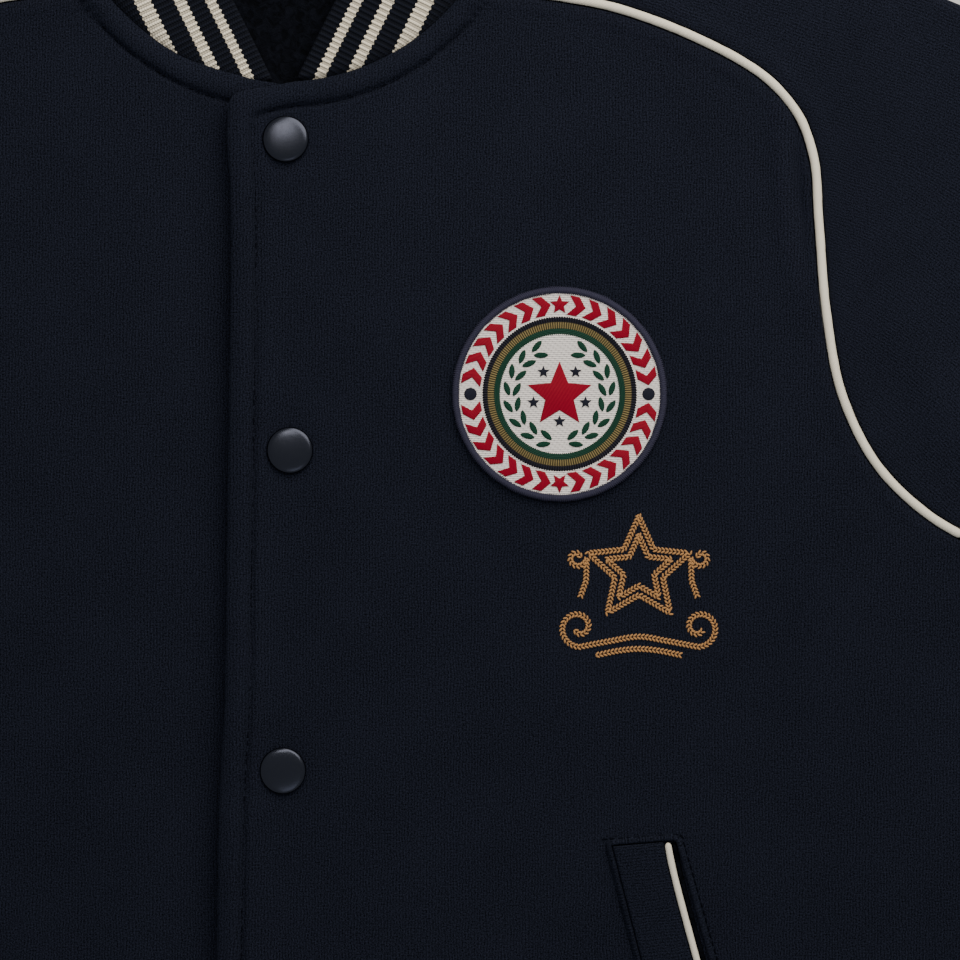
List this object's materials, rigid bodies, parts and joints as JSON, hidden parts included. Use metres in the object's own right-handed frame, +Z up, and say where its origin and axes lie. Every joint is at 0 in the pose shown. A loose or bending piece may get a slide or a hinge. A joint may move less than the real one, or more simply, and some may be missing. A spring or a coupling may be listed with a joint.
{
  "type": "varsity jacket",
  "caption": "Child's varsity jacket laid flat with its snaps shut: fleece body, piped shoulder seams, striped rib collar, cuffs and hem, slanted welt pockets, round chest patch.",
  "frame": {"origin": "middle of the bounding box's underside, on the surface that the jacket lies on", "axes": "+Z up from that surface, +Y towards the collar, +X towards the wearer's left sleeve"},
  "size_m": [1.0666, 0.5698, 0.0107],
  "materials": {
    "fleece": "navy sweatshirt fleece, brushed inside, matt",
    "striped_rib": "navy rib knit with cream stripes",
    "piping": "cream woven piping over a cord",
    "patch": "embroidered twill with an overlocked rim",
    "snap": "satin dark enamel on a pressed metal cap"
  },
  "bodies": {
    "root": {"back": "fleece", "front_left": "fleece", "front_right": "fleece", "sleeve_left": "fleece", "sleeve_right": "fleece", "collar_rib": "striped_rib", "waist_rib": "striped_rib", "cuff_left": "striped_rib", "cuff_right": "striped_rib", "shoulder_piping_left": "piping", "shoulder_piping_right": "piping", "pocket_welt_left": "fleece", "pocket_welt_right": "fleece", "pocket_piping_left": "piping", "pocket_piping_right": "piping", "chest_patch": "patch", "snap_1": "snap", "snap_2": "snap", "snap_3": "snap", "snap_4": "snap", "snap_5": "snap"}
  },
  "joints": []
}
